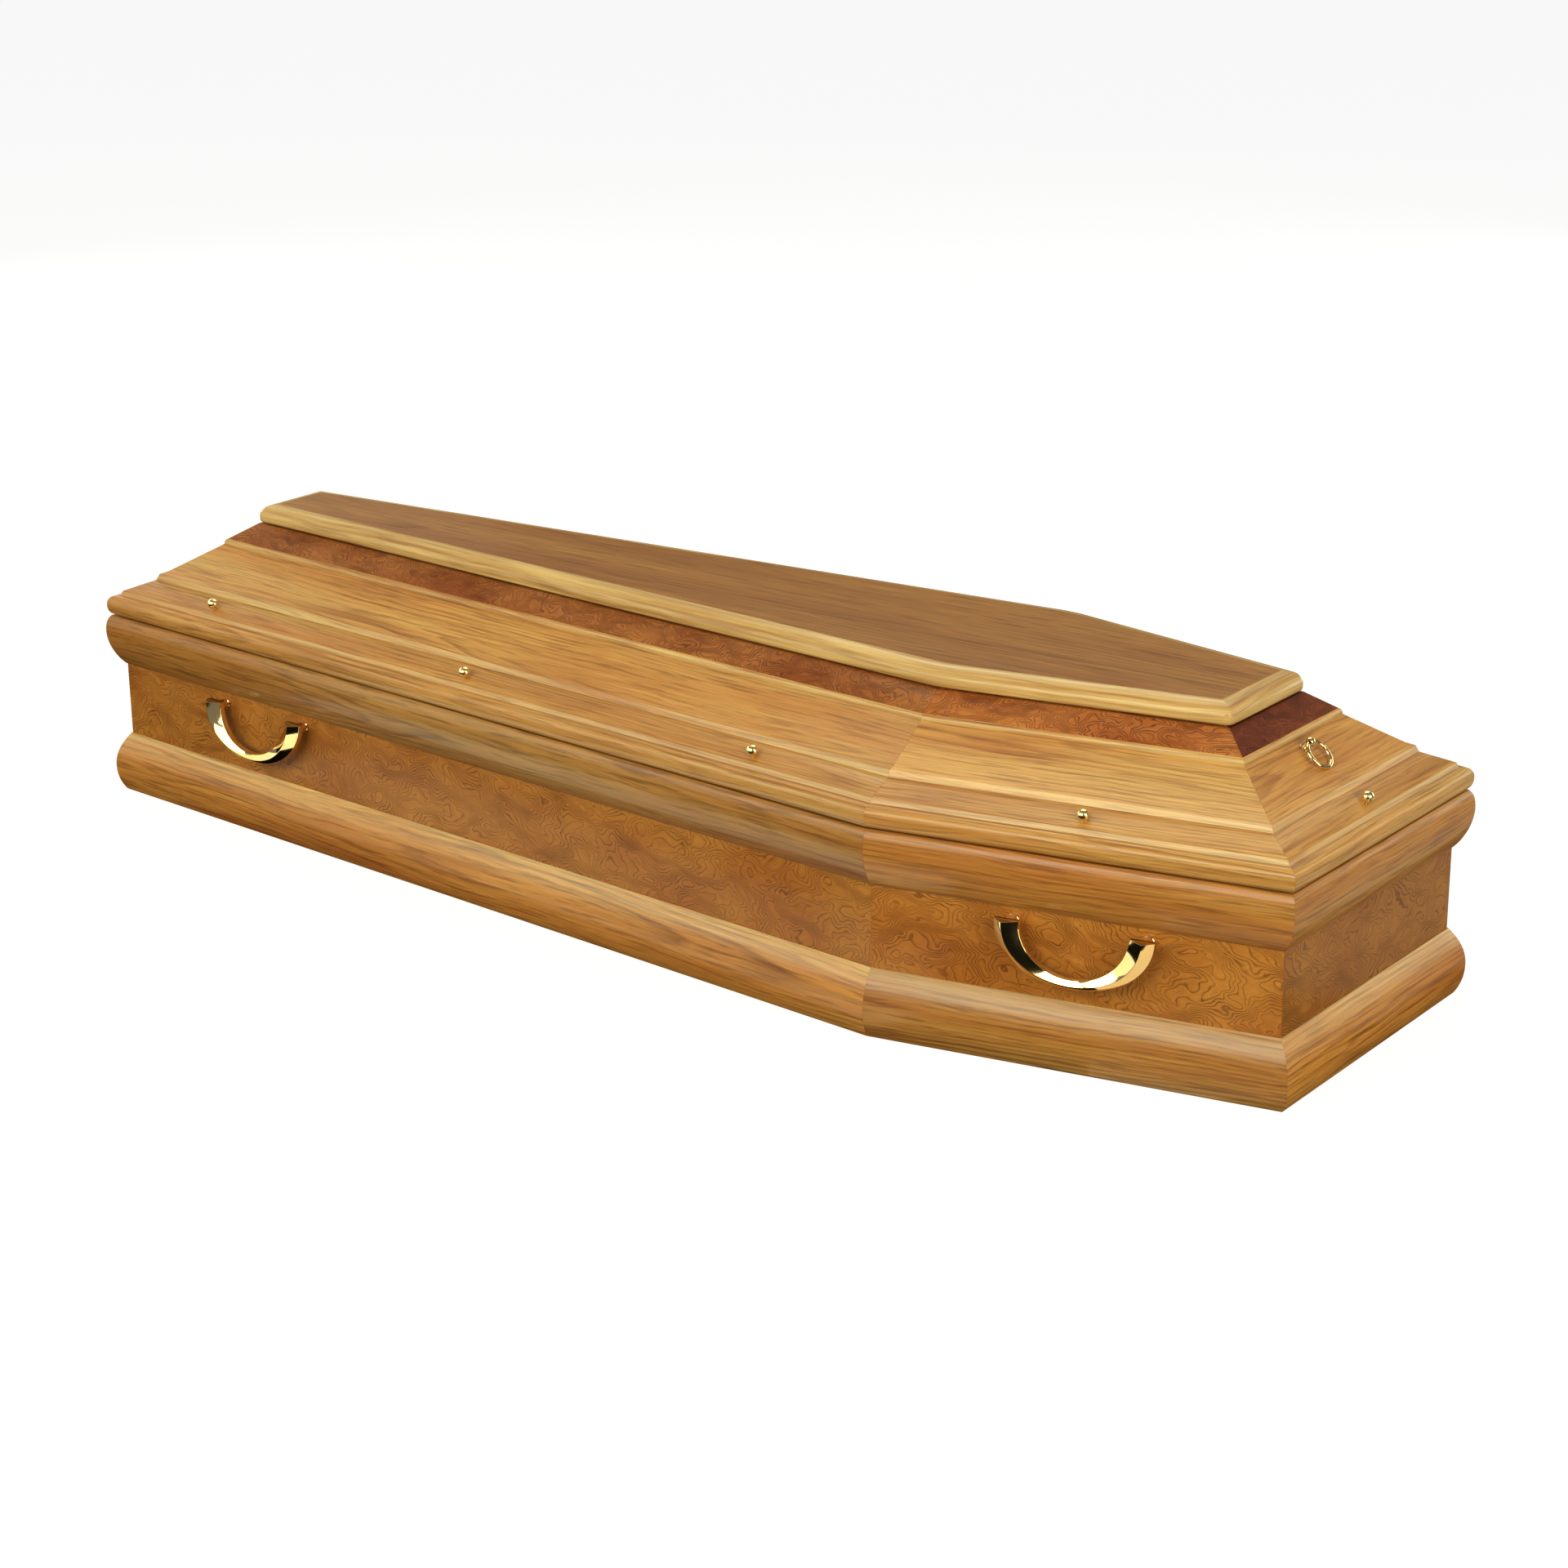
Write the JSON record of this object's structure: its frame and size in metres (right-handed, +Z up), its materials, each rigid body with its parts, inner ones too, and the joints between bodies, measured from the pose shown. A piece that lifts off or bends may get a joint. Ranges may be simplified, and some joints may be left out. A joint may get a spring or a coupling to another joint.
{
  "type": "wooden coffin",
  "caption": "Six-sided wooden coffin with shoulders, hipped lift-off lid built up of mouldings, burr panels, brass bail handles, knob screws and a drop ring.",
  "frame": {"origin": "on the surface that the coffin stands on, under the middle of its length and width", "axes": "+X along the length towards the head end, +Y across the coffin to the far long side, +Z up"},
  "size_m": [1.991, 0.6712, 0.432],
  "materials": {
    "oak": "satin lacquer over light honey-coloured oak",
    "burr_veneer": "satin lacquer over orange-brown burr veneer",
    "frieze_burr": "satin lacquer over red-brown burr veneer",
    "bare_wood": "planed and unfinished",
    "brass": "polished"
  },
  "bodies": {
    "coffin": {"case_bottom": "bare_wood", "case_board_near_leg": "burr_veneer", "case_board_near_head": "burr_veneer", "case_board_head_end": "burr_veneer", "case_board_far_head": "burr_veneer", "case_board_far_leg": "burr_veneer", "case_board_foot_end": "burr_veneer", "base_moulding_near_leg": "oak", "base_moulding_near_head": "oak", "base_moulding_head_end": "oak", "base_moulding_far_head": "oak", "base_moulding_far_leg": "oak", "base_moulding_foot_end": "oak", "case_rim_near_leg": "oak", "case_rim_near_head": "oak", "case_rim_head_end": "oak", "case_rim_far_head": "oak", "case_rim_far_leg": "oak", "case_rim_foot_end": "oak", "lid_frame_near_leg": "oak", "lid_frame_near_head": "oak", "lid_frame_head_end": "oak", "lid_frame_far_head": "oak", "lid_frame_far_leg": "oak", "lid_frame_foot_end": "oak", "lid_slope_near_leg": "oak", "lid_slope_near_head": "oak", "lid_slope_head_end": "oak", "lid_slope_far_head": "oak", "lid_slope_far_leg": "oak", "lid_slope_foot_end": "oak", "lid_frieze_near_leg": "frieze_burr", "lid_frieze_near_head": "frieze_burr", "lid_frieze_head_end": "frieze_burr", "lid_frieze_far_head": "frieze_burr", "lid_frieze_far_leg": "frieze_burr", "lid_frieze_foot_end": "frieze_burr", "lid_top": "oak", "handle_near_leg": "brass", "handle_near_head": "brass", "handle_far_head": "brass", "handle_far_leg": "brass", "knob_screw_near_leg_1": "brass", "knob_screw_near_leg_2": "brass", "knob_screw_near_leg_3": "brass", "knob_screw_near_head": "brass", "knob_screw_far_leg_1": "brass", "knob_screw_far_leg_2": "brass", "knob_screw_far_leg_3": "brass", "knob_screw_far_head": "brass", "knob_screw_head_end": "brass", "knob_screw_foot_end": "brass", "ring_eye": "brass"},
    "ring": {"drop_ring": "brass"}
  },
  "joints": [
    {"name": "ring_swing", "type": "hinge", "parent": "coffin", "child": "ring", "pos_m": [0.88333, 0, 0.37471], "axis": [0, -1, 0], "range_deg": [0, 190]}
  ]
}
